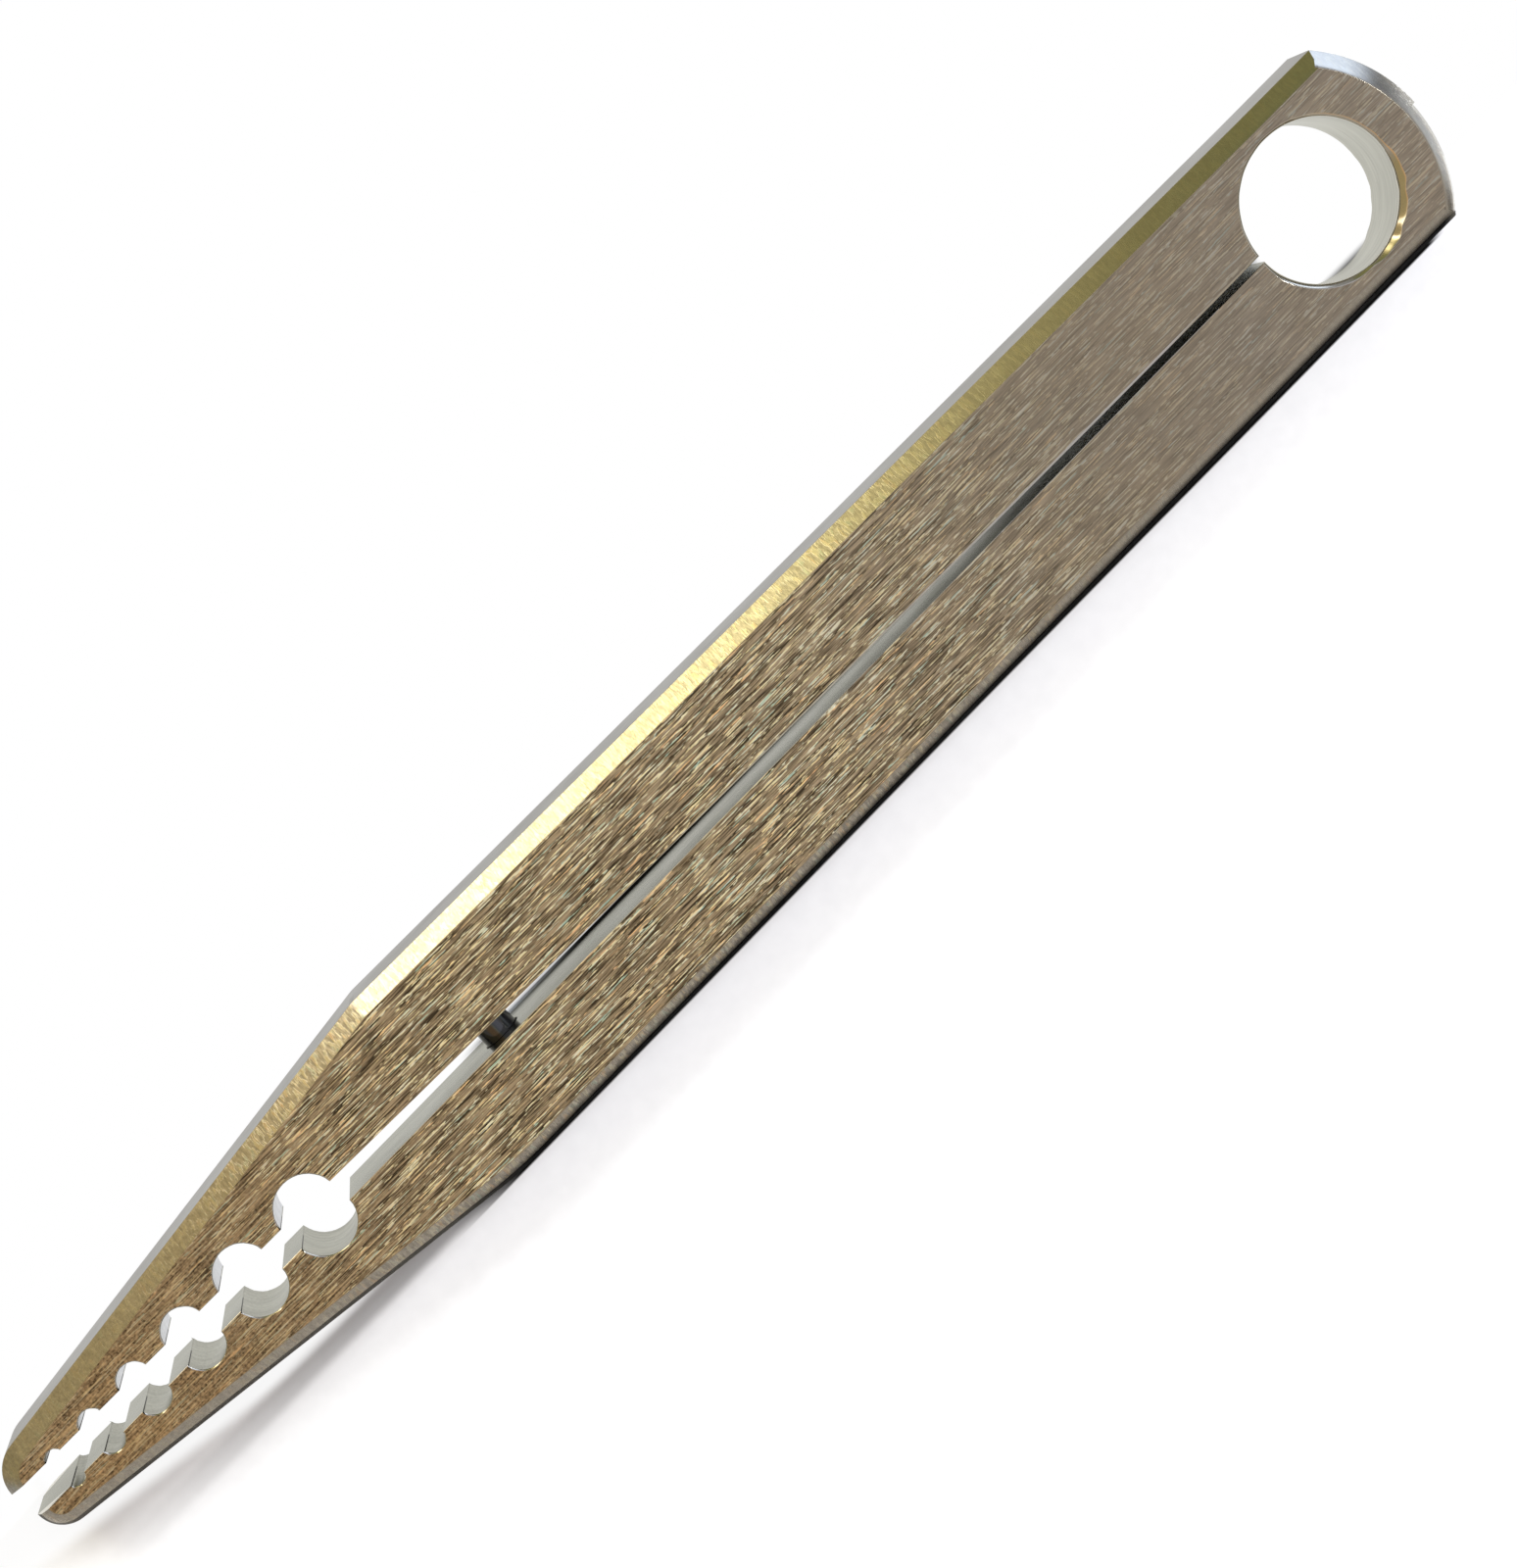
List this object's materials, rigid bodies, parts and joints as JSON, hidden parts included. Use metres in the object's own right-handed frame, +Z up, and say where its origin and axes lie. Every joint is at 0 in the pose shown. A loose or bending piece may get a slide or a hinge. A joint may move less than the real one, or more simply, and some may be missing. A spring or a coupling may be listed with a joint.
{
  "type": "roller remover tweezers",
  "caption": "Flat steel tweezers with a round spring eye, a long slit, tapered jaws that share a row of graded round holes, and a guide pin across the slit.",
  "frame": {"origin": "middle of the underside, on the surface that the tweezers lie on", "axes": "+X along the bar from the eye to the tips, +Y across the arms, +Z up through the thickness"},
  "size_m": [0.11, 0.0136, 0.0055],
  "materials": {
    "bar_steel": "lengthwise brushed, warm grey, polished bevels",
    "pin_steel": "hardened, dark and glossy"
  },
  "bodies": {
    "bow": {"spring_bow": "bar_steel"},
    "left_jaw": {"left_arm": "bar_steel"},
    "right_jaw": {"right_arm": "bar_steel", "guide_pin": "pin_steel"}
  },
  "joints": [
    {"name": "left_arm_squeeze", "type": "hinge", "parent": "bow", "child": "left_jaw", "pos_m": [-0.04722, 0.00545, 0.00275], "axis": [0, 0, -1], "range_deg": [0, 0.52], "stiffness_Nm_per_rad": 20},
    {"name": "right_arm_squeeze", "type": "hinge", "parent": "bow", "child": "right_jaw", "pos_m": [-0.04722, -0.00545, 0.00275], "axis": [0, 0, 1], "range_deg": [0, 0.52], "stiffness_Nm_per_rad": 20}
  ],
  "couplings": [
    {"joint": "right_arm_squeeze", "follows": "left_arm_squeeze", "ratio": 1}
  ]
}
